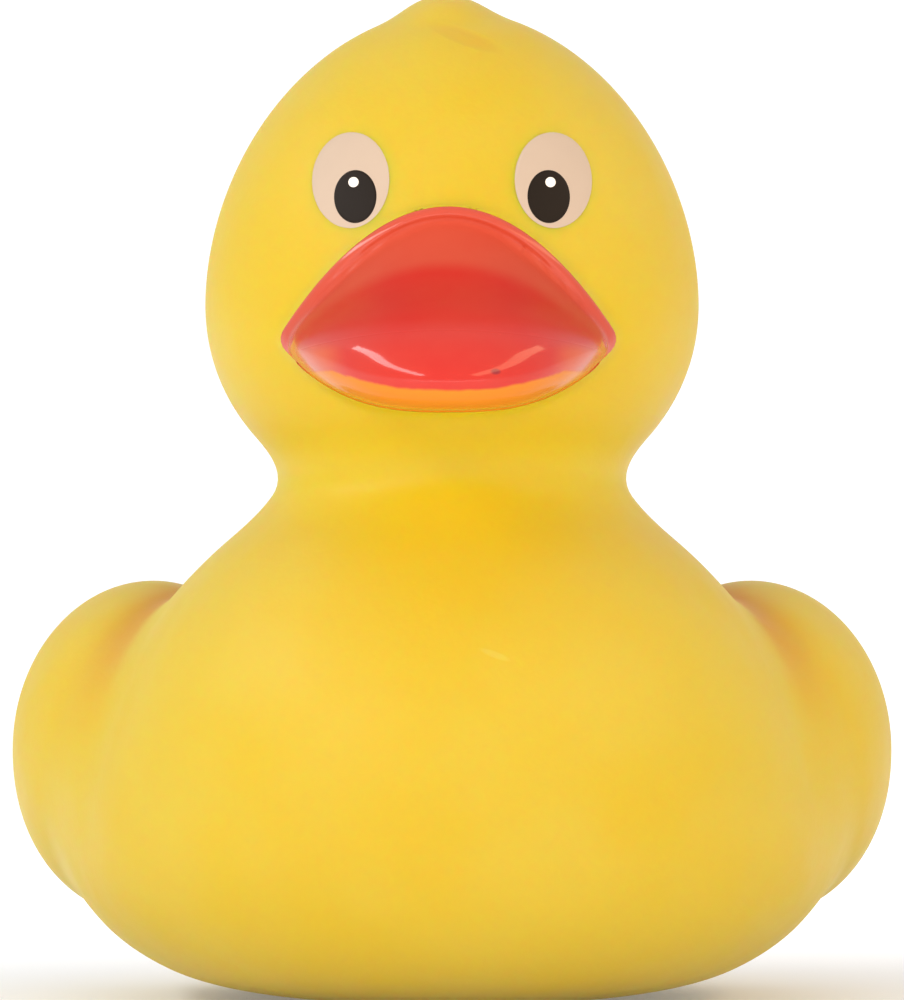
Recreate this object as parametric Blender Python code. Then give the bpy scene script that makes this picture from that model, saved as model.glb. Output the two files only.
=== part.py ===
"""A rubber duck for the bath: one hollow shell of soft vinyl, cast in a closed mould.

The scene is in metres, +Z up, and the duck looks along -Y. The origin is on the ground, under the
middle of the duck. The lengths below are in millimetres, as on a drawing, and MM turns them into metres.

The outer skin is the zero level of one function, skin(): it adds rounded forms together with a fillet
of a stated radius at each join. A mesh of plain primitives is remeshed, and its points are then drawn
onto that level.
"""

from collections import namedtuple

import bmesh
import bpy
import numpy as np
from mathutils import Matrix

MM = 0.001

# A rounded form: the place of its middle, its half-sizes across, fore and aft, up and down, and how
# full its upper and lower halves are between plan and height, where 2 is an ellipse.
Form = namedtuple("Form", "middle across fore aft up down upper_fullness lower_fullness")

# Driving dimensions, in millimetres.
TORSO = Form((0, -1, 13.9), 32.5, 35.5, 36, 33.5, 15.4, 1.72, 2.3)
TORSO_LEAN = -8.0  # how far the top of the torso lies ahead of its foot
NECK = Form((0, -9, 46), 13.7, 15.0, 15.5, 9.2, 9.2, 4, 4)
HEAD = Form((0, -9, 58.8), 20.8, 21.5, 22, 24.9, 18.0, 1.9, 2.05)
CREST = Form((-0.6, -5, 81.0), 3.25, 8.5, 6.5, 3.7, 3.7, 2.4, 2.4)
WING = Form((25.8, 8, 20.85), 12.1, 20.5, 26, 14.55, 14.55, 2, 2.1)
WING_TIP_RISE = 9.0
WING_TIP_INWARD = 7.0
WING_TAPER = 0.3
TAIL = Form((0, 22, 24), 13.5, 20, 24, 10, 10, 2, 2)
TAIL_RISE = 17.0
TAIL_BEND_START = 18.0
TAIL_TAPER = 0.1
GROUND_EDGE = 3.6  # radius of the corner between the hull and the flat base
BELLY_DROP = 0.9  # how far the belly would reach below the ground, before the base is cut flat

BILL_TOP = 66.4  # height of the peak of the bill's root, between the eyes
BILL_CORNER = 55.5  # height of the corners of the mouth
BILL_BOTTOM = 49.7
BILL_MIDDLE_X = -0.3
BILL_HALF_WIDTH = 14.2
BILL_ROOT_Y = -29.6
BILL_CORNER_Y = -24.5
BILL_TIP_Y = -46.0
BILL_BACK_Y = -18.0  # where the bill's solid ends, inside the head
BILL_CREST = 57.4  # height of the lip's upper edge at its middle
BOWL_POWER = 2.8  # how square the lower outline is, where 2 is a parabola
TIP_POWER = 2.2  # how square the bill is in plan
TIP_BLUNTNESS = 0.6
SADDLE_POWER = 2.2  # how sharply the top dips in front of the root
LIP_RADIUS = 3.4
LIP_NOSE = 52.6  # above this height the lip leans back
LIP_LEAN = 0.7
LIP_LEAN_EASE = 1.3
RIM_RADIUS = 0.45  # the bead round the root
RIM_STEP = 0.35
RIM_FOOT = 55.5
RIM_RUN = 3.0
RIM_SINK = 0.3
BILL_CORE = Form((0, -30, 54), 13.5, 15, 6, 4, 4, 2, 2)  # a plain ball that fills most of the bill

# Radii of the fillets and rounded edges.
TAIL_FILLET = 9.0
NECK_FILLET = 4.3
HEAD_FILLET = 2.8
CREST_FILLET = 3.1
WING_FILLET = 1.2  # at the wing's middle; it grows by the next two in front and behind
WING_FRONT_FILLET = 4.0
WING_BACK_FILLET = 4.5
BILL_FILLET = 0.7
OUTLINE_FILLET = 1.2
SADDLE_EDGE = 1.5
BEAD_FILLET = 0.6

WALL = 1.9
VENT_RADIUS = 1.75
VENT_Y = -4.0

SKIN_VOXEL = 1.3
CAVITY_VOXEL = 2.6
SKIN_TRIANGLES = 5600
CAVITY_TRIANGLES = 1500

GROUND_TOLERANCE = 0.02
RELAX_STRENGTHS = (0.5, 0.5, 0.5, 0.5, 0.5, 0.3, 0.0)  # smoothing before each return to the skin

VINYL_YELLOW = (0.83, 0.53, 0.06, 1.0)
VINYL_ROUGHNESS = 0.38


def blend(a, b, radius):
    """Two forms joined, with a fillet of about this radius where they meet."""
    near = np.maximum(radius - np.abs(a - b), 0.0) / radius
    return np.minimum(a, b) - near * near * radius / 4


def overlap(a, b, radius):
    """What two forms share, with its edge rounded to about this radius."""
    return -blend(-a, -b, radius)


def ease(t):
    """0 to 1, with a level start and end."""
    t = np.clip(t, 0.0, 1.0)
    return t * t * (3 - 2 * t)


def rounded(x, y, z, form):
    """Signed distance, about true near the surface, from a rounded form."""
    x = (x - form.middle[0]) / form.across
    length = np.where(y < form.middle[1], form.fore, form.aft)
    y = (y - form.middle[1]) / length
    above = z > form.middle[2]
    height = np.where(above, form.up, form.down)
    fullness = np.where(above, form.upper_fullness, form.lower_fullness)
    z = (z - form.middle[2]) / height
    plan = np.sqrt(x * x + y * y + 1e-9)
    level = (plan**fullness + (np.abs(z) + 1e-9) ** fullness) ** (1 / fullness)
    slope = np.sqrt((x / form.across) ** 2 + (y / length) ** 2 + (z / height) ** 2 + 1e-12)
    return level * (level - 1) / slope


def torso_lean(z):
    """How far the torso's middle moves along Y with height: the neck stands ahead of the belly."""
    return TORSO_LEAN * ease(z / NECK.middle[2])


def tail_sweep(y):
    """The tail narrows behind and bends up: (size, up)."""
    behind = np.maximum(y - TAIL_BEND_START, 0) / (TAIL.middle[1] + TAIL.aft - TAIL_BEND_START)
    return 1 - TAIL_TAPER * ease(behind), TAIL_RISE * behind**2


def wing_sweep(y):
    """Behind its middle a wing gets thinner, and its tip leans inward and up: (size, inward, up)."""
    behind = np.maximum(y - WING.middle[1], 0) / WING.aft
    return 1 - WING_TAPER * ease(behind), WING_TIP_INWARD * behind**2, WING_TIP_RISE * behind**2


def torso(x, y, z):
    return rounded(x, y - torso_lean(z), z, TORSO)


def tail(x, y, z):
    size, up = tail_sweep(y)
    z = TAIL.middle[2] + (z - TAIL.middle[2] - up) / size
    return rounded(x / size, y, z, TAIL) * size


def wing(x, y, z):
    """A folded wing on each side, full in front."""
    size, inward, up = wing_sweep(y)
    x = WING.middle[0] + (np.abs(x) - WING.middle[0] + inward) / size
    z = WING.middle[2] + (z - WING.middle[2] - up) / size
    return rounded(x, y, z, WING) * size


def head_front(x, z):
    """Where the front of the head lies, at a place seen from in front."""
    height = np.where(z > HEAD.middle[2], HEAD.up, HEAD.down)
    left = 1 - (x / HEAD.across) ** 2 - ((z - HEAD.middle[2]) / height) ** 2
    return HEAD.middle[1] - HEAD.fore * np.sqrt(np.maximum(left, 0.02))


def bill_outline(x, z):
    """Distance outside the bill's outline as seen from in front: an arch over a shallow bowl."""
    across = (x - BILL_MIDDLE_X) / BILL_HALF_WIDTH
    arch = BILL_TOP - BILL_CORNER
    arch_slope = 2 * arch * across / BILL_HALF_WIDTH
    over = (z - BILL_CORNER - arch * (1 - across**2)) / np.sqrt(1 + arch_slope**2)
    bowl = BILL_CORNER - BILL_BOTTOM
    bowl_slope = BOWL_POWER * bowl * np.abs(across) ** (BOWL_POWER - 1) / BILL_HALF_WIDTH
    under = (BILL_BOTTOM + bowl * np.abs(across) ** BOWL_POWER - z) / np.sqrt(1 + bowl_slope**2)
    return overlap(over, under, OUTLINE_FILLET)


def lip_crest(across):
    """Height of the lip's upper edge."""
    return BILL_CORNER + (BILL_CREST - BILL_CORNER) * (1 - across**2)


def bill(x, y, z):
    """A broad bill: its top dips from the root to a full, rounded lip, and a bead runs over the root."""
    outline = bill_outline(x, z)
    across = np.clip(np.abs(x - BILL_MIDDLE_X) / BILL_HALF_WIDTH, 0, 1)
    root = BILL_ROOT_Y + (BILL_CORNER_Y - BILL_ROOT_Y) * across**2
    reach = BILL_TIP_Y - BILL_CORNER_Y
    tip = BILL_CORNER_Y + reach * (1 - across**TIP_POWER) ** TIP_BLUNTNESS
    ahead = np.clip((root - y) / np.maximum(root - tip, 1.0), 0, 1)
    arch = BILL_CORNER - 0.9 + (BILL_TOP - BILL_CORNER) * (1 - across**2)
    crest = lip_crest(across)
    top = crest + (arch - crest) * (1 - ahead) ** SADDLE_POWER
    fall = SADDLE_POWER * np.maximum(arch - crest, 0) * (1 - ahead) ** (SADDLE_POWER - 1)
    above = (z - top) / np.sqrt(1 + (fall / np.maximum(root - tip, 4.0)) ** 2)
    up = z - LIP_NOSE
    soft_up = np.sqrt(up**2 + LIP_LEAN_EASE**2)
    lean = LIP_LEAN * (soft_up + up) / 2 * (1 - across**2)
    lean_slope = LIP_LEAN * (1 + up / soft_up) / 2
    tip_slope = reach / BILL_HALF_WIDTH * across / np.sqrt(1.05 - across**2)
    ahead_of_tip = (tip + lean - y) / np.sqrt(1 + tip_slope**2 + lean_slope**2)
    inset = RIM_STEP * ease((z - RIM_FOOT) / RIM_RUN)
    body = overlap(overlap(outline + inset, above, SADDLE_EDGE), ahead_of_tip, LIP_RADIUS)
    body = np.maximum(body, y - BILL_BACK_Y)
    bead = np.hypot(outline + RIM_RADIUS, y - head_front(x, z) + RIM_SINK) - RIM_RADIUS
    return blend(body, bead, BEAD_FILLET)


def skin(x, y, z):
    """Distance outside the duck's outer skin, in millimetres. It is negative inside."""
    body = blend(torso(x, y, z), tail(x, y, z), TAIL_FILLET)
    body = blend(body, rounded(x, y, z, NECK), NECK_FILLET)
    crown = blend(rounded(x, y, z, HEAD), rounded(x, y, z, CREST), CREST_FILLET)
    duck = blend(body, crown, HEAD_FILLET)
    wing_fillet = WING_FILLET + WING_FRONT_FILLET * ease((4 - y) / 20)
    wing_fillet = wing_fillet + WING_BACK_FILLET * ease((y - 6) / 16)
    duck = blend(duck, wing(x, y, z), wing_fillet)
    duck = np.maximum(overlap(duck, -z - BELLY_DROP, GROUND_EDGE), -z)
    return blend(duck, bill(x, y, z), BILL_FILLET)


def onto_level(points, level):
    """Move points, in millimetres, straight towards the place where skin() has this value."""
    step = 0.02
    for _ in range(6):
        x, y, z = points.T
        value = skin(x, y, z)
        slope = np.stack(
            [
                skin(x + step, y, z) - skin(x - step, y, z),
                skin(x, y + step, z) - skin(x, y - step, z),
                skin(x, y, z + step) - skin(x, y, z - step),
            ],
            axis=1,
        ) / (2 * step)
        push = (level - value) / np.maximum((slope**2).sum(axis=1), 0.2)
        points = points + slope * np.clip(push, -1.5, 1.5)[:, None]
    return points


def ball(mesh, form):
    """A ball of a form's size and place, in millimetres. Returns its points."""
    middle = (
        form.middle[0],
        form.middle[1] + (form.aft - form.fore) / 2,
        form.middle[2] + (form.up - form.down) / 2,
    )
    sizes = (form.across, (form.fore + form.aft) / 2, (form.up + form.down) / 2, 1)
    place = Matrix.Translation(middle) @ Matrix.Diagonal(sizes)
    return bmesh.ops.create_uvsphere(mesh, u_segments=32, v_segments=20, radius=1, matrix=place)["verts"]


def shrunk(form, wall):
    return form._replace(
        across=form.across - wall,
        fore=form.fore - wall,
        aft=form.aft - wall,
        up=form.up - wall,
        down=form.down - wall,
    )


def rough_duck(wall):
    """Plain balls inside the duck, a wall's thickness below its skin, in metres."""
    mesh = bmesh.new()
    for form in (TORSO, NECK, HEAD, CREST, BILL_CORE):
        ball(mesh, shrunk(form, wall))
    for point in ball(mesh, shrunk(TAIL, wall)):
        size, up = tail_sweep(point.co.y)
        point.co.x *= size
        point.co.z = TAIL.middle[2] + (point.co.z - TAIL.middle[2]) * size + up
    for side in (-1, 1):
        for point in ball(mesh, shrunk(WING, wall)):
            size, inward, up = wing_sweep(point.co.y)
            point.co.x = side * (WING.middle[0] + (point.co.x - WING.middle[0]) * size - inward)
            point.co.z = WING.middle[2] + (point.co.z - WING.middle[2]) * size + up
    bmesh.ops.recalc_face_normals(mesh, faces=mesh.faces)
    bmesh.ops.scale(mesh, vec=(MM, MM, MM), verts=mesh.verts)
    return mesh


def apply_modifiers(obj):
    obj.data = bpy.data.meshes.new_from_object(obj.evaluated_get(bpy.context.evaluated_depsgraph_get()))
    obj.modifiers.clear()


def closed_skin(name, wall, voxel):
    """A closed mesh that lies a wall's thickness below the skin, with faces about one voxel across."""
    rough = rough_duck(wall)
    mesh = bpy.data.meshes.new(name)
    rough.to_mesh(mesh)
    rough.free()
    obj = bpy.data.objects.new(name, mesh)
    bpy.context.scene.collection.objects.link(obj)
    remesh = obj.modifiers.new("Remesh", "REMESH")
    remesh.mode = "VOXEL"
    remesh.voxel_size = voxel * MM
    apply_modifiers(obj)

    relaxed = bmesh.new()
    relaxed.from_mesh(obj.data)
    for strength in RELAX_STRENGTHS:
        bmesh.ops.smooth_vert(
            relaxed, verts=relaxed.verts, factor=strength, use_axis_x=True, use_axis_y=True, use_axis_z=True
        )
        points = np.array([vertex.co for vertex in relaxed.verts]) / MM
        for vertex, point in zip(relaxed.verts, onto_level(points, -wall) * MM):
            vertex.co = point
    relaxed.to_mesh(obj.data)
    relaxed.free()
    return obj


def thin_out(obj, triangles):
    """Keep small faces only where the surface curves."""
    decimate = obj.modifiers.new("Decimate", "DECIMATE")
    decimate.ratio = triangles / sum(len(face.vertices) - 2 for face in obj.data.polygons)
    apply_modifiers(obj)


def press_flat(obj):
    """Lay the base's points exactly on the ground."""
    for vertex in obj.data.vertices:
        if vertex.co.z < GROUND_TOLERANCE * MM:
            vertex.co.z = 0.0


def vent_cutter():
    """A short round bar through the base's wall."""
    mesh = bmesh.new()
    place = Matrix.Translation((0, VENT_Y * MM, WALL * MM / 2))
    bmesh.ops.create_cone(
        mesh,
        cap_ends=True,
        segments=24,
        radius1=VENT_RADIUS * MM,
        radius2=VENT_RADIUS * MM,
        depth=WALL * MM * 2,
        matrix=place,
    )
    data = bpy.data.meshes.new("vent_cutter")
    mesh.to_mesh(data)
    mesh.free()
    obj = bpy.data.objects.new("vent_cutter", data)
    bpy.context.scene.collection.objects.link(obj)
    return obj


def cut(obj, cutter):
    cutter.hide_render = True
    cutter.display_type = "WIRE"
    boolean = obj.modifiers.new(cutter.name, "BOOLEAN")
    boolean.operation = "DIFFERENCE"
    boolean.solver = "EXACT"
    boolean.object = cutter


def vinyl():
    material = bpy.data.materials.new("vinyl_yellow")
    material.use_nodes = True
    shader = material.node_tree.nodes["Principled BSDF"]
    shader.inputs["Base Color"].default_value = VINYL_YELLOW
    shader.inputs["Roughness"].default_value = VINYL_ROUGHNESS
    shader.inputs["Metallic"].default_value = 0.0
    return material


def main():
    for old in list(bpy.data.objects):
        bpy.data.objects.remove(old, do_unlink=True)
    shell = closed_skin("duck_shell", 0.0, SKIN_VOXEL)
    thin_out(shell, SKIN_TRIANGLES)
    press_flat(shell)
    shell.data.materials.append(vinyl())
    shell.data.shade_smooth()
    cavity = closed_skin("cavity_cutter", WALL, CAVITY_VOXEL)
    thin_out(cavity, CAVITY_TRIANGLES)
    cut(shell, cavity)
    cut(shell, vent_cutter())


main()
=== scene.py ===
import math
from collections import namedtuple

import bmesh
import bpy
import numpy as np
from mathutils import Matrix, Vector


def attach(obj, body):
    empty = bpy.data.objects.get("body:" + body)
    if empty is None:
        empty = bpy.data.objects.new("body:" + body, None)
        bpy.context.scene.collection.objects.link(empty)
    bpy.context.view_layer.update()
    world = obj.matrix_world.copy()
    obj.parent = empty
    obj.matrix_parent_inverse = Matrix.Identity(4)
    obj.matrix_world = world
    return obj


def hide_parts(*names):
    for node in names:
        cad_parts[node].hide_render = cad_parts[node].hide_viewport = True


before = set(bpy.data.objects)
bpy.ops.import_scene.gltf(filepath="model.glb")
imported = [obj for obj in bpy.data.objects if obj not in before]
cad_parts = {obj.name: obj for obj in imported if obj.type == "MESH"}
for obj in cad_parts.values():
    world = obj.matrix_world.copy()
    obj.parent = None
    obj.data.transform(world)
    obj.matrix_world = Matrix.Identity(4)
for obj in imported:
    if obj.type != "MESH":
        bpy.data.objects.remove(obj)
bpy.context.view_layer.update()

# ---------------------------------------------------------------------------------------------
# The camera stands level with the duck's neck and looks straight at its breast from far off,
# through a long lens, so that the duck fills the upright frame.

CAMERA_DISTANCE = 0.72
SENSOR = 36.0
VIEW_HEIGHT = 0.0854  # what the frame's long side takes in at the duck's middle
camera_data = bpy.data.cameras.new("studio_camera")
camera_data.sensor_width = SENSOR
camera_data.lens = SENSOR * CAMERA_DISTANCE / VIEW_HEIGHT
camera_data.clip_start = 0.05
camera_data.clip_end = 20.0
camera = bpy.data.objects.new("studio_camera", camera_data)
camera.location = (0.0, -CAMERA_DISTANCE, 0.04236)
camera.rotation_euler = (math.radians(90), 0, 0)
bpy.context.scene.collection.objects.link(camera)
bpy.context.scene.camera = camera

# ---------------------------------------------------------------------------------------------
# The shell is the whole duck: soft yellow vinyl, cast in one closed mould and pulled out of it
# while warm. Its outer skin is rounded forms joined with fillets, in millimetres as in the frame's
# own model, whose inner wall and vent it keeps.

MM = 0.001
Form = namedtuple("Form", "middle across fore aft up down upper_fullness lower_fullness")
TORSO = Form((0, -1, 13.9), 32.5, 35.5, 36, 33.5, 15.4, 1.72, 2.3)
TORSO_LEAN = -8.0
NECK = Form((0, -9, 46), 13.7, 15.0, 15.5, 9.2, 9.2, 4, 4)
HEAD = Form((0, -9, 58.8), 20.8, 21.5, 22, 24.9, 18.0, 1.9, 2.05)
CREST = Form((-0.6, -5, 81.0), 3.25, 8.5, 6.5, 3.7, 3.7, 2.4, 2.4)
WING = Form((25.8, 8, 20.85), 12.1, 20.5, 26, 14.55, 14.55, 2, 2.1)
WING_TIP_RISE = 9.0
WING_TIP_INWARD = 7.0
WING_TAPER = 0.3
TAIL = Form((0, 22, 24), 13.5, 20, 24, 10, 10, 2, 2)
TAIL_RISE = 17.0
TAIL_BEND_START = 18.0
TAIL_TAPER = 0.1
GROUND_EDGE = 3.6
BELLY_DROP = 0.9
BILL_TOP = 66.4
BILL_CORNER = 55.5
BILL_BOTTOM = 49.7
BILL_MIDDLE_X = -0.3
BILL_HALF_WIDTH = 14.2
BILL_ROOT_Y = -29.6
BILL_CORNER_Y = -24.5
BILL_TIP_Y = -46.0
BILL_BACK_Y = -18.0
BILL_CREST = 57.4
BOWL_POWER = 2.8
TIP_POWER = 2.2
TIP_BLUNTNESS = 0.6
SADDLE_POWER = 2.2
LIP_RADIUS = 3.4
LIP_NOSE = 52.6
LIP_LEAN = 0.7
LIP_LEAN_EASE = 1.3
RIM_RADIUS = 0.45
RIM_STEP = 0.35
RIM_FOOT = 55.5
RIM_RUN = 3.0
RIM_SINK = 0.3
TAIL_FILLET = 9.0
NECK_FILLET = 4.3
HEAD_FILLET = 2.8
CREST_FILLET = 3.1
WING_FILLET = 1.2
WING_FRONT_FILLET = 4.0
WING_BACK_FILLET = 4.5
BILL_FILLET = 0.7
OUTLINE_FILLET = 1.2
SADDLE_EDGE = 1.5
BEAD_FILLET = 0.6
VENT_RADIUS = 1.75
VENT_Y = -4.0
VENT_TOP = 3.0
WALL_SPLIT = -0.7  # between the outer skin and the inner wall
FINE_GRAIN = 0.0011  # in metres, what the finer skin's faces are cut from
PAINT_BED = 0.2  # how far the vinyl lies back under the bill's paint


def blend(a, b, radius):
    """Two forms joined, with a fillet of about this radius where they meet."""
    near = np.maximum(radius - np.abs(a - b), 0.0) / radius
    return np.minimum(a, b) - near * near * radius / 4


def overlap(a, b, radius):
    """What two forms share, with its edge rounded to about this radius."""
    return -blend(-a, -b, radius)


def ease(t):
    """0 to 1, with a level start and end."""
    t = np.clip(t, 0.0, 1.0)
    return t * t * (3 - 2 * t)


def rounded(x, y, z, form):
    """Signed distance, about true near the surface, from a rounded form."""
    x = (x - form.middle[0]) / form.across
    length = np.where(y < form.middle[1], form.fore, form.aft)
    y = (y - form.middle[1]) / length
    above = z > form.middle[2]
    height = np.where(above, form.up, form.down)
    fullness = np.where(above, form.upper_fullness, form.lower_fullness)
    z = (z - form.middle[2]) / height
    plan = np.sqrt(x * x + y * y + 1e-9)
    level = (plan**fullness + (np.abs(z) + 1e-9) ** fullness) ** (1 / fullness)
    slope = np.sqrt((x / form.across) ** 2 + (y / length) ** 2 + (z / height) ** 2 + 1e-12)
    return level * (level - 1) / slope


def torso(x, y, z):
    return rounded(x, y - TORSO_LEAN * ease(z / NECK.middle[2]), z, TORSO)


def tail(x, y, z):
    """The tail narrows behind and bends up."""
    behind = np.maximum(y - TAIL_BEND_START, 0) / (TAIL.middle[1] + TAIL.aft - TAIL_BEND_START)
    size = 1 - TAIL_TAPER * ease(behind)
    z = TAIL.middle[2] + (z - TAIL.middle[2] - TAIL_RISE * behind**2) / size
    return rounded(x / size, y, z, TAIL) * size


def wing(x, y, z):
    """A folded wing on each side: it thins behind its middle, and its tip leans in and up."""
    behind = np.maximum(y - WING.middle[1], 0) / WING.aft
    size = 1 - WING_TAPER * ease(behind)
    x = WING.middle[0] + (np.abs(x) - WING.middle[0] + WING_TIP_INWARD * behind**2) / size
    z = WING.middle[2] + (z - WING.middle[2] - WING_TIP_RISE * behind**2) / size
    return rounded(x, y, z, WING) * size


def head_front(x, z):
    """Where the front of the head lies, at a place seen from in front."""
    height = np.where(z > HEAD.middle[2], HEAD.up, HEAD.down)
    left = 1 - (x / HEAD.across) ** 2 - ((z - HEAD.middle[2]) / height) ** 2
    return HEAD.middle[1] - HEAD.fore * np.sqrt(np.maximum(left, 0.02))


def bill_outline(x, z):
    """Distance outside the bill's outline as seen from in front: an arch over a shallow bowl."""
    across = (x - BILL_MIDDLE_X) / BILL_HALF_WIDTH
    arch = BILL_TOP - BILL_CORNER
    arch_slope = 2 * arch * across / BILL_HALF_WIDTH
    over = (z - BILL_CORNER - arch * (1 - across**2)) / np.sqrt(1 + arch_slope**2)
    bowl = BILL_CORNER - BILL_BOTTOM
    bowl_slope = BOWL_POWER * bowl * np.abs(across) ** (BOWL_POWER - 1) / BILL_HALF_WIDTH
    under = (BILL_BOTTOM + bowl * np.abs(across) ** BOWL_POWER - z) / np.sqrt(1 + bowl_slope**2)
    return overlap(over, under, OUTLINE_FILLET)


def lip_crest(across):
    """Height of the lip's upper edge."""
    return BILL_CORNER + (BILL_CREST - BILL_CORNER) * (1 - across**2)


def bill(x, y, z):
    """A broad bill: its top dips to a full, rounded lip, and a bead runs over the root."""
    outline = bill_outline(x, z)
    across = np.clip(np.abs(x - BILL_MIDDLE_X) / BILL_HALF_WIDTH, 0, 1)
    root = BILL_ROOT_Y + (BILL_CORNER_Y - BILL_ROOT_Y) * across**2
    reach = BILL_TIP_Y - BILL_CORNER_Y
    tip = BILL_CORNER_Y + reach * (1 - across**TIP_POWER) ** TIP_BLUNTNESS
    ahead = np.clip((root - y) / np.maximum(root - tip, 1.0), 0, 1)
    arch = BILL_CORNER - 0.9 + (BILL_TOP - BILL_CORNER) * (1 - across**2)
    crest = lip_crest(across)
    top = crest + (arch - crest) * (1 - ahead) ** SADDLE_POWER
    fall = SADDLE_POWER * np.maximum(arch - crest, 0) * (1 - ahead) ** (SADDLE_POWER - 1)
    above = (z - top) / np.sqrt(1 + (fall / np.maximum(root - tip, 4.0)) ** 2)
    up = z - LIP_NOSE
    soft_up = np.sqrt(up**2 + LIP_LEAN_EASE**2)
    lean = LIP_LEAN * (soft_up + up) / 2 * (1 - across**2)
    lean_slope = LIP_LEAN * (1 + up / soft_up) / 2
    tip_slope = reach / BILL_HALF_WIDTH * across / np.sqrt(1.05 - across**2)
    ahead_of_tip = (tip + lean - y) / np.sqrt(1 + tip_slope**2 + lean_slope**2)
    inset = RIM_STEP * ease((z - RIM_FOOT) / RIM_RUN)
    body = overlap(overlap(outline + inset, above, SADDLE_EDGE), ahead_of_tip, LIP_RADIUS)
    body = np.maximum(body, y - BILL_BACK_Y)
    bead = np.hypot(outline + RIM_RADIUS, y - head_front(x, z) + RIM_SINK) - RIM_RADIUS
    return blend(body, bead, BEAD_FILLET)


def skin(x, y, z):
    """Distance outside the duck's outer skin, in millimetres. It is negative inside."""
    body = blend(torso(x, y, z), tail(x, y, z), TAIL_FILLET)
    body = blend(body, rounded(x, y, z, NECK), NECK_FILLET)
    crown = blend(rounded(x, y, z, HEAD), rounded(x, y, z, CREST), CREST_FILLET)
    duck = blend(body, crown, HEAD_FILLET)
    wing_fillet = WING_FILLET + WING_FRONT_FILLET * ease((4 - y) / 20)
    wing_fillet = wing_fillet + WING_BACK_FILLET * ease((y - 6) / 16)
    duck = blend(duck, wing(x, y, z), wing_fillet)
    duck = np.maximum(overlap(duck, -z - BELLY_DROP, GROUND_EDGE), -z)
    return blend(duck, bill(x, y, z), BILL_FILLET)


def rise(points, step):
    """Which way leads out of the skin at each point, read over this far to each side."""
    x, y, z = points.T
    rises = [
        skin(x + step, y, z) - skin(x - step, y, z),
        skin(x, y + step, z) - skin(x, y - step, z),
        skin(x, y, z + step) - skin(x, y, z - step),
    ]
    return np.stack(rises, axis=1) / (2 * step)


def onto_skin(points, height):
    """Move points, in millimetres, straight to where they lie this far above the skin."""
    for _ in range(6):
        slope = rise(points, 0.02)
        push = (height - skin(*points.T)) / np.maximum((slope**2).sum(axis=1), 0.2)
        points = points + slope * np.clip(push, -1.5, 1.5)[:, None]
    return points


def points_of(points):
    """Where these points are, in millimetres."""
    return np.array([point.co for point in points]) / MM


def move_points(points, places):
    for point, place in zip(points, places * MM):
        point.co = place


def new_piece(name, mesh):
    """A smooth-shaded piece from a finished bmesh, which it frees."""
    data = bpy.data.meshes.new(name)
    mesh.to_mesh(data)
    mesh.free()
    data.shade_smooth()
    piece = bpy.data.objects.new(name, data)
    bpy.context.scene.collection.objects.link(piece)
    return piece


def apply_modifiers(piece):
    """Make the piece's modifiers part of its mesh."""
    piece.data = bpy.data.meshes.new_from_object(
        piece.evaluated_get(bpy.context.evaluated_depsgraph_get())
    )
    piece.modifiers.clear()


def cad_half(inner):
    """The CAD shell's outer skin, or its inner wall, with the vent's ring closed."""
    mesh = bmesh.new()
    mesh.from_mesh(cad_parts["duck_shell"].data)
    bmesh.ops.remove_doubles(mesh, verts=mesh.verts, dist=0.000001)
    middles = np.array([face.calc_center_median() for face in mesh.faces]) / MM
    x, y, z = middles.T
    in_vent = (np.hypot(x, y - VENT_Y) < VENT_RADIUS) & (z < VENT_TOP)
    inside = skin(x, y, z) < WALL_SPLIT
    wanted = (inside == inner) & ~in_vent
    other = [face for face, keep in zip(mesh.faces, wanted) if not keep]
    bmesh.ops.delete(mesh, geom=other, context="FACES")
    rim = [edge for edge in mesh.edges if edge.is_boundary]
    bmesh.ops.contextual_create(mesh, geom=rim)
    bmesh.ops.recalc_face_normals(mesh, faces=mesh.faces)
    return mesh


def vent_drill():
    """A round bar where the vent goes through the base."""
    mesh = bmesh.new()
    middle = Matrix.Translation((0, VENT_Y * MM, 0))
    radius = VENT_RADIUS * MM
    bmesh.ops.create_cone(
        mesh, cap_ends=True, segments=64, radius1=radius, radius2=radius, depth=0.008, matrix=middle
    )
    return mesh


def cut(piece, cutter_mesh):
    """Cut one closed mesh out of a piece."""
    cutter = new_piece("cutter", cutter_mesh)
    difference = piece.modifiers.new("cut", "BOOLEAN")
    difference.operation = "DIFFERENCE"
    difference.object = cutter
    apply_modifiers(piece)
    bpy.data.objects.remove(cutter, do_unlink=True)


def relax(mesh, points, strength):
    """Draw points towards the middle of their neighbours, so that they lie evenly."""
    bmesh.ops.smooth_vert(
        mesh, verts=points, factor=strength, use_axis_x=True, use_axis_y=True, use_axis_z=True
    )


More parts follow.
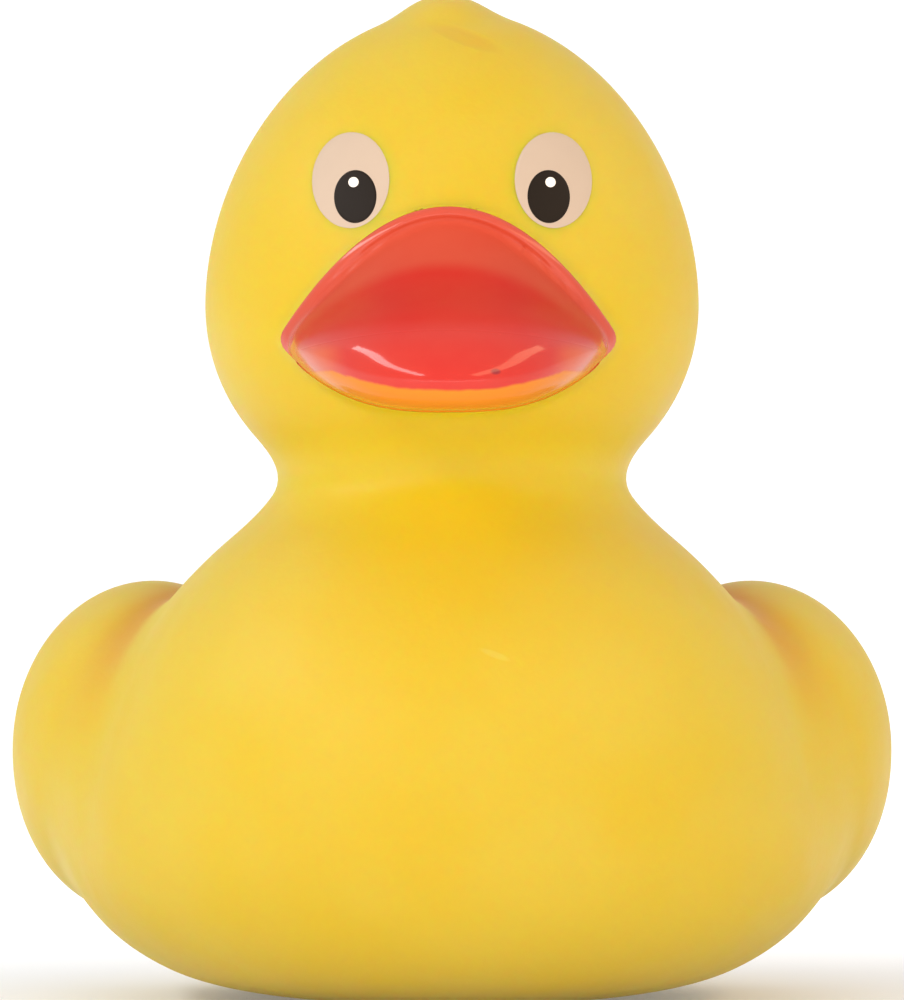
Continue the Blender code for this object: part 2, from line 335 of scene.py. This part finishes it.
def fine_shell():
    """The outer skin in small even faces, hollowed by the CAD shell's own inside."""
    shell = new_piece("duck_body", cad_half(inner=False))
    remesh = shell.modifiers.new("even", "REMESH")
    remesh.mode = "VOXEL"
    remesh.voxel_size = FINE_GRAIN
    apply_modifiers(shell)
    finer = shell.modifiers.new("finer", "SUBSURF")
    finer.levels = 1
    finer.render_levels = 1
    for strength in (0.5, 0.5, 0.5, 0.5, 0.3):
        mesh = bmesh.new()
        mesh.from_mesh(shell.data)
        relax(mesh, mesh.verts, strength)
        move_points(mesh.verts, onto_skin(points_of(mesh.verts), 0.0))
        mesh.to_mesh(shell.data)
        mesh.free()
    apply_modifiers(shell)
    mesh = bmesh.new()
    mesh.from_mesh(shell.data)
    places = onto_skin(points_of(mesh.verts), 0.0)
    x, y, z = places.T
    under_paint = np.where(y < -20, ease((0.1 - bill_outline(x, z)) / 0.4), 0)
    places = onto_skin(places, -PAINT_BED * under_paint)
    move_points(mesh.verts, places)
    mesh.to_mesh(shell.data)
    mesh.free()
    cut(shell, cad_half(inner=True))
    cut(shell, vent_drill())
    shell.data.shade_smooth()
    return shell


class Socket:
    """A node's output, so that shader maths reads as arithmetic."""

    def __init__(self, tree, output):
        self.tree = tree
        self.output = output

    def node(self, kind, settings=None, outlet=0, **values):
        """One node: settings first, then its sockets by name, _ being a space, or by number."""
        made = self.tree.nodes.new(kind)
        for name, value in (settings or {}).items():
            setattr(made, name, value)
        for name, value in values.items():
            key = int(name[1:]) if name[0] == "_" else name.replace("_", " ")
            if isinstance(value, Socket):
                self.tree.links.new(value.output, made.inputs[key])
            else:
                made.inputs[key].default_value = value
        return Socket(self.tree, made.outputs[outlet])

    def maths(self, operation, a, b=0.0, c=0.0):
        return self.node("ShaderNodeMath", {"operation": operation}, _0=a, _1=b, _2=c)

    def __add__(self, other):
        return self.maths("ADD", self, other)

    __radd__ = __add__

    def __sub__(self, other):
        return self.maths("SUBTRACT", self, other)

    def __rsub__(self, other):
        return self.maths("SUBTRACT", other, self)

    def __mul__(self, other):
        return self.maths("MULTIPLY", self, other)

    __rmul__ = __mul__

    def __truediv__(self, other):
        return self.maths("DIVIDE", self, other)

    def parts(self):
        """The x, y and z of a vector, in millimetres."""
        split = self.tree.nodes.new("ShaderNodeSeparateXYZ")
        self.tree.links.new(self.output, split.inputs["Vector"])
        return [Socket(self.tree, part) / MM for part in split.outputs]

    def step(self, low, high):
        """0 below low and 1 above high, with a smooth rise between."""
        return self.node(
            "ShaderNodeMapRange",
            {"interpolation_type": "SMOOTHSTEP"},
            Value=self,
            From_Min=low,
            From_Max=high,
        )

    def mix(self, a, b):
        """Colour a where this is 0, and colour b where it is 1."""
        return self.node("ShaderNodeMix", {"data_type": "RGBA"}, outlet=2, _0=self, _6=a, _7=b)


def new_material(name, roughness, **constants):
    """A Principled material: (material, shader, a socket with the Object coordinates)."""
    material = bpy.data.materials.new(name)
    material.use_nodes = True
    shader = material.node_tree.nodes["Principled BSDF"]
    shader.inputs["Roughness"].default_value = roughness
    for socket, value in constants.items():
        shader.inputs[socket.replace("_", " ")].default_value = value
    places = material.node_tree.nodes.new("ShaderNodeTexCoord")
    return material, shader, Socket(material.node_tree, places.outputs["Object"])


def wire(shader, socket, source):
    source.tree.links.new(source.output, shader.inputs[socket])


def noise(places, size, detail=3.0):
    """Cloudy noise, 0 to 1, with blotches about this many millimetres across."""
    return places.node("ShaderNodeTexNoise", Vector=places, Scale=1 / (size * MM), Detail=detail)


def bump(places, height, depth, below=None):
    """A bump of this many millimetres from a height of 0 to 1."""
    values = {"Height": height, "Distance": depth * MM, "Strength": 1.0}
    if below is not None:
        values["Normal"] = below
    return places.node("ShaderNodeBump", **values)


def spot(across, up):
    """1 in the middle of an oval, falling softly to 0 at its edge."""
    return 1 - (across * across + up * up).step(0.1, 1.0)


VINYL_YELLOW = (0.565, 0.39, 0.018, 1)
# painted shade: the deeper orange-yellow laid into the folds
VINYL_PAINTED_SHADE = (0.60, 0.43, 0.010, 1)
VINYL_PALE = (0.565, 0.435, 0.055, 1)
# painted shade: orange for the top of each wing's root and the crest's crease
VINYL_PAINTED_SHADE_ORANGE = (0.54, 0.21, 0.004, 1)
VINYL_SCUFF = (0.60, 0.48, 0.07, 1)
SCUFF = (3.5, 29.8)  # x and z of the faint mark on the breast
CREASE = (1.3, 80.85)  # x and z of the middle of the crest's fold
FEELERS = (1.5, 4.0, 8.0, 14.0)  # how far out, in millimetres, a fold is felt


def feel_folds(piece):
    """Store how far each point lies in a fold, and how near the top of a wing's root, 0 to 1."""
    places = points_of(piece.data.vertices)
    slope = rise(places, 0.05)
    slope /= np.linalg.norm(slope, axis=1)[:, None] + 1e-9
    fold_shade = np.zeros(len(places))
    for reach in FEELERS:
        x, y, z = (places + slope * reach).T
        fold_shade += np.clip((reach - skin(x, y, z)) / reach, 0, 1) / len(FEELERS)
    x, y, z = places.T
    # The top of each wing's root, a recess behind the breast, is marked for painted shade.
    above_hull = torso(x, y, z)
    root = ease(1 - above_hull / 5) * ease(above_hull / 0.8) * ease((4 - wing(x, y, z)) / 4)
    root *= ease((z - 20) / 14)
    for name, mark in (("fold_shade", fold_shade), ("wing_root_shade", root)):
        # Both marks are masks for painted shade in the vinyl's colour.
        layer = piece.data.attributes.new(name, "FLOAT", "POINT")
        layer.data.foreach_set("value", mark.astype(np.float32))


def vinyl():
    """Satin soft vinyl with faint flow clouds and a fine moulded grain; painted shade in its folds
    and creases.
    """
    material, shader, places = new_material(
        "vinyl_yellow",
        0.4,
        Subsurface_Weight=1.0,
        Subsurface_Radius=(1.0, 0.32, 0.06),
        Subsurface_Scale=0.003,
        IOR=1.45,
        Specular_IOR_Level=0.28,
    )
    clouds = noise(places, 14, 2.0).step(0.35, 0.7)
    fold_shade = places.node("ShaderNodeAttribute", {"attribute_name": "fold_shade"}, outlet=2)
    colour = (clouds * 0.35).mix(VINYL_YELLOW, VINYL_PALE)
    # Painted shade: deeper orange-yellow in the folds, where less light reaches.
    colour = fold_shade.step(0.02, 0.6).mix(colour, VINYL_PAINTED_SHADE)
    root = places.node("ShaderNodeAttribute", {"attribute_name": "wing_root_shade"}, outlet=2)
    # Painted shade: orange at the top of each wing's root.
    colour = (root * 0.95).mix(colour, VINYL_PAINTED_SHADE_ORANGE)
    x, y, z = places.parts()
    ahead = (-6 - y).step(0, 2)
    from_scuff = x - SCUFF[0]
    scuff = spot(from_scuff / 1.5, (from_scuff * 0.35 + z - SCUFF[1]) / 0.35) * ahead
    colour = (scuff * 0.6).mix(colour, VINYL_SCUFF)
    # The crest's crease: a real shallow dent, and an orange tint in it as painted shade.
    from_crease = x - CREASE[0]
    crease_dent_and_shade = spot(from_crease / 3.4, (from_crease * 0.365 + z - CREASE[1]) / 0.9)
    crease_dent_and_shade = crease_dent_and_shade * (0 - y).step(4, 8)
    colour = (crease_dent_and_shade * 0.22).mix(colour, VINYL_PAINTED_SHADE_ORANGE)
    wire(shader, "Base Color", colour)
    wear = noise(places, 5, 4.0).step(0.3, 0.75)
    wire(shader, "Roughness", 0.42 + wear * 0.08)
    grain = bump(places, noise(places, 0.45, 2.0), 0.012)
    dents = bump(places, noise(places, 9, 1.0), 0.12, below=grain)
    wire(shader, "Normal", bump(places, 1 - crease_dent_and_shade, 0.05, below=dents))
    return material


body = fine_shell()
feel_folds(body)
body.data.materials.clear()
body.data.materials.append(vinyl())
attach(body, "root")
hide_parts("duck_shell")

# ---------------------------------------------------------------------------------------------
# The bill is painted: glossy red sprayed on from in front, as far as the bead round its root. The
# spray thins out under the lip, where the coat is orange.

LIP_MIDDLE = (-0.3, 55.0)
PAINT_HEIGHT = 0.05
PAINT_DEPTH = 0.12
EDGE_HEIGHT = 0.02


def bill_reach(angle):
    """How far the bill's outline lies from the lip's middle at each angle, seen from in front."""
    near, far = np.zeros_like(angle), np.full_like(angle, 20.0)
    for _ in range(40):
        middle = (near + far) / 2
        outside = bill_outline(
            LIP_MIDDLE[0] + middle * np.cos(angle), LIP_MIDDLE[1] + middle * np.sin(angle)
        ) > 0
        near, far = np.where(outside, near, middle), np.where(outside, middle, far)
    return near


def onto_front(points, height):
    """Move points along Y to where they lie this far above the skin."""
    for _ in range(12):
        x, y, z = points.T
        value = skin(x, y, z) - height
        slope = (skin(x, y + 0.02, z) - skin(x, y - 0.02, z)) / 0.04
        forward = np.clip(value / np.minimum(slope, -0.3), -1, 1)
        points = points - np.stack([0 * x, forward, 0 * z], axis=1)
    return points


def bill_paint_mesh():
    """Half a ball, drawn over the bill like a film and tucked under at the edge."""
    mesh = bmesh.new()
    turn = Matrix.Rotation(math.radians(90), 4, "X")
    bmesh.ops.create_uvsphere(mesh, u_segments=220, v_segments=140, radius=1, matrix=turn)
    back = [point for point in mesh.verts if point.co.y > 0.001]
    bmesh.ops.delete(mesh, geom=back, context="VERTS")
    x, y, z = np.array([point.co for point in mesh.verts]).T
    angle = np.arctan2(z, x)
    reach = bill_reach(angle) * np.hypot(x, z)
    across = LIP_MIDDLE[0] + reach * np.cos(angle)
    up = LIP_MIDDLE[1] + reach * np.sin(angle)
    root = head_front(across, up)
    places = np.stack([across, root + (BILL_TIP_Y - root) * np.abs(y), up], axis=1)
    edge = np.array([point.is_boundary for point in mesh.verts])
    places[edge] = onto_front(places[edge], EDGE_HEIGHT)
    places[~edge] = onto_skin(places[~edge], PAINT_HEIGHT)
    move_points(mesh.verts, places)
    inner = [point for point, at_edge in zip(mesh.verts, edge) if not at_edge]
    for _ in range(10):
        relax(mesh, inner, 0.5)
        move_points(inner, onto_skin(points_of(inner), PAINT_HEIGHT))
    bmesh.ops.recalc_face_normals(mesh, faces=mesh.faces)
    return mesh


def thicken(film, depth):
    """Close a film of paint, so that it goes this many millimetres deep."""
    solid = film.modifiers.new("depth", "SOLIDIFY")
    solid.thickness = depth * MM
    solid.offset = -1
    apply_modifiers(film)
    film.data.set_sharp_from_angle(angle=math.radians(75))


def mark_bill(film):
    """Store on the film where the full lip is and where the root's bead is, 0 to 1."""
    x, _, z = points_of(film.data.vertices).T
    across = np.clip(np.abs(x - BILL_MIDDLE_X) / BILL_HALF_WIDTH, 0, 1)
    marks = {
        "lip": ease((lip_crest(across) - 0.2 - z) / 1.8),
        "bead": ease((bill_outline(x, z) + 2 * RIM_RADIUS + 0.3) / 0.4),
    }
    for name, mark in marks.items():
        layer = film.data.attributes.new(name, "FLOAT", "POINT")
        layer.data.foreach_set("value", mark.astype(np.float32))


BILL_RED = (0.49, 0.017, 0.0085, 1)
# painted reflection on the upper bill, also used for faint random clouds
BILL_CLOUD_AND_REFLECTION_RED = (0.50, 0.060, 0.028, 1)
BILL_ORANGE = (0.64, 0.21, 0.015, 1)
# painted reflection: pale pink at the lip's corners
BILL_PAINTED_REFLECTION_PINK = (0.56, 0.10, 0.035, 1)
BILL_SPECK = (0.16, 0.012, 0.02, 1)
SPECK = (3.5, 52.64)  # x and z of the small dark speck on the lip
THIN_PAINT_TOP = 51.1  # how high the thin paint under the lip comes in the middle
THIN_PAINT_CORNER = 52.8  # and at the corners


def bill_paint():
    """Glossy red on the lip and the bead, satin behind the lip, orange where it thins out below."""
    material, shader, places = new_material(
        "beak_red", 0.16, Coat_Roughness=0.07, IOR=1.45, Specular_IOR_Level=0.12
    )
    lip = places.node("ShaderNodeAttribute", {"attribute_name": "lip"}, outlet=2)
    bead = places.node("ShaderNodeAttribute", {"attribute_name": "bead"}, outlet=2)
    x, y, z = places.parts()
    across = (x - BILL_MIDDLE_X).maths("ABSOLUTE", x - BILL_MIDDLE_X) / 9
    wander = noise(places, 3) * 0.5 - 0.25
    edge = across.maths("POWER", across, 2.2) * 1.5 + THIN_PAINT_TOP + wander
    thin = (edge.maths("MINIMUM", edge, THIN_PAINT_CORNER) - z).step(-0.15, 0.15)
    # Pale pink at the lip's corners: a painted reflection of the bright room.
    corner_reflection = across.step(0.9, 1.15) * (55.4 - z).step(0, 1.2)
    cloud = noise(places, 5).step(0.3, 0.7)
    # Brighter red high on the bill is a painted reflection of the bright room; the faint clouds are
    # random tone.
    root = ((x + 0.5) * (x + 0.5) * 0.036 + z - 61.3).step(-0.6, 0.9)
    colour = (cloud * 0.15 + root * 0.85).mix(BILL_RED, BILL_CLOUD_AND_REFLECTION_RED)
    colour = (corner_reflection * 0.8).mix(colour, BILL_PAINTED_REFLECTION_PINK)
    colour = (thin * 0.9).mix(colour, BILL_ORANGE)
    speck = spot((x - SPECK[0]) / 0.5, (z - SPECK[1]) / 0.3)
    colour = (speck * 0.75).mix(colour, BILL_SPECK)
    wire(shader, "Base Color", colour)
    gloss = lip.maths("MAXIMUM", lip, bead)
    wire(shader, "Coat Weight", gloss * (0.75 - thin * 0.6 - corner_reflection * 0.5))
    wire(shader, "Roughness", 0.42 - gloss * 0.2)
    wire(shader, "Normal", bump(places, noise(places, 1.2, 2.0), 0.01))
    return material


bill_film = new_piece("bill_paint", bill_paint_mesh())
mark_bill(bill_film)
bill_film.data.materials.append(bill_paint())
thicken(bill_film, PAINT_DEPTH)
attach(bill_film, "root")

# ---------------------------------------------------------------------------------------------
# The eyes are printed on the head: a pale oval, a black pupil low and near the bill, and a small
# white glint. Each is a thin film of paint.

EYE_DEPTH = 0.08


def eye_mesh(middle_x, middle_z, half_width, half_height, height):
    """An oval film on the front of the head, this many millimetres above the vinyl."""
    mesh = bmesh.new()
    bmesh.ops.create_circle(mesh, cap_ends=True, radius=1, segments=72)
    for _ in range(10):
        inner = max(mesh.faces, key=lambda face: len(face.verts))
        bmesh.ops.inset_region(mesh, faces=[inner], thickness=0.08, use_boundary=True)
    x, y, _ = np.array([point.co for point in mesh.verts]).T
    across, up = middle_x + x * half_width, middle_z + y * half_height
    places = np.stack([across, np.full_like(x, -28.0), up], axis=1)
    edge = np.array([point.is_boundary for point in mesh.verts])
    places[~edge] = onto_front(places[~edge], height)
    places[edge] = onto_front(places[edge], -0.02)
    move_points(mesh.verts, places)
    bmesh.ops.recalc_face_normals(mesh, faces=mesh.faces)
    for face in mesh.faces:
        if face.normal.y > 0:
            face.normal_flip()
    return mesh


# Name, x, z, half width, half height, height above the vinyl, slot, colour and roughness.
EYE_PARTS = (
    ("eye_white", 8.35, 68.7, 3.3, 4.15, 0.03, "eye_white", (0.49, 0.365, 0.27, 1), 0.5),
    ("eye_pupil", 7.95, 67.3, 1.85, 2.33, 0.06, "eye_black", (0.011, 0.006, 0.003, 1), 0.5),
    ("eye_glint", 8.1, 68.5, 0.45, 0.45, 0.09, "eye_white", (1.0, 0.88, 0.74, 1), 0.4),
)
for name, x, z, half_width, half_height, height, slot, colour, roughness in EYE_PARTS:
    material, shader, places = new_material(name, roughness, Specular_IOR_Level=0.15)
    duller = tuple(0.96 * part for part in colour[:3]) + (1,)
    wire(shader, "Base Color", noise(places, 2).mix(colour, duller))
    for side, side_name in ((-1, "left"), (1, "right")):
        mesh = eye_mesh(side * x, z, half_width, half_height, height)
        film = new_piece(f"{name}_{side_name}", mesh)
        film.data.materials.append(material)
        thicken(film, EYE_DEPTH)
        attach(film, "root")

# ---------------------------------------------------------------------------------------------
# The studio: a white floor that glows, less near the duck as a painted shadow, under a white
# dome that only the camera sees, a long soft lamp up on the left, a weaker one on the right, a low
# one in front, and even light from the room.

STUDIO_RADIUS = 3.0
FLOOR_GLOW_IN_PAINTED_SHADOW = (0.14, 0.15, 0.17, 1)
FLOOR_FAR = (0.4, 0.4, 0.4, 1)
floor_mesh = bmesh.new()
bmesh.ops.create_circle(floor_mesh, cap_ends=True, radius=STUDIO_RADIUS, segments=128)
floor = new_piece("floor", floor_mesh)
floor_material, floor_shader, floor_places = new_material("floor", 0.7)
floor_shader.inputs["Base Color"].default_value = (0.8, 0.8, 0.8, 1)
floor_shader.inputs["Emission Strength"].default_value = 1.0
away = floor_places.node("ShaderNodeVectorMath", {"operation": "LENGTH"}, outlet=1, _0=floor_places)
# The floor glows less near the duck: a painted shadow round its base.
wire(floor_shader, "Emission Color", away.step(0.042, 0.13).mix(FLOOR_GLOW_IN_PAINTED_SHADOW, FLOOR_FAR))
floor_material.cycles.emission_sampling = "NONE"
floor.data.materials.append(floor_material)
floor.location.z = -0.00005  # just clear of the duck's flat base

dome_mesh = bmesh.new()
bmesh.ops.create_uvsphere(dome_mesh, u_segments=48, v_segments=24, radius=STUDIO_RADIUS)
dome = new_piece("dome", dome_mesh)
dome_material, dome_shader, _ = new_material("dome", 1.0)
dome_shader.inputs["Base Color"].default_value = (0, 0, 0, 1)
dome_shader.inputs["Emission Color"].default_value = (1, 1, 1, 1)
dome_shader.inputs["Emission Strength"].default_value = 1.1
dome_material.cycles.emission_sampling = "NONE"
dome.data.materials.append(dome_material)
dome.visible_diffuse = False
dome.visible_glossy = False
dome.visible_transmission = False
dome.visible_shadow = False

world = bpy.data.worlds.new("studio")
world.use_nodes = True
world.node_tree.nodes["Background"].inputs["Color"].default_value = (1, 1, 1, 1)
world.node_tree.nodes["Background"].inputs["Strength"].default_value = 0.82
bpy.context.scene.world = world


def strip_lamp(name, start, end, width, power, colour=(1, 1, 1)):
    """A long soft lamp from start to end, turned to face the duck."""
    start, end = Vector(start), Vector(end)
    middle = (start + end) / 2
    back = (middle - Vector((0, 0, 0.05))).normalized()
    along = (end - start).normalized()
    along = (along - back * along.dot(back)).normalized()
    lamp = bpy.data.lights.new(name, "AREA")
    lamp.shape = "RECTANGLE"
    lamp.size = (end - start).length
    lamp.size_y = width
    lamp.energy = power
    lamp.color = colour
    holder = bpy.data.objects.new(name, lamp)
    turn = Matrix((along, back.cross(along), back)).transposed()
    holder.matrix_world = Matrix.Translation(middle) @ turn.to_4x4()
    bpy.context.scene.collection.objects.link(holder)
    return holder


strip_lamp("key_lamp", (-0.23, -0.64, 0.20), (-0.58, 0.12, 0.50), 0.09, 1.65)
strip_lamp("fill_lamp", (0.23, -0.64, 0.20), (0.58, 0.12, 0.50), 0.12, 1.05, colour=(1, 0.7, 0.4))
low_lamp = strip_lamp("low_lamp", (-0.3, -0.42, 0.008), (0.3, -0.42, 0.008), 0.03, 1.3)
low_lamp.visible_glossy = False
bpy.context.scene.view_settings.view_transform = "Standard"
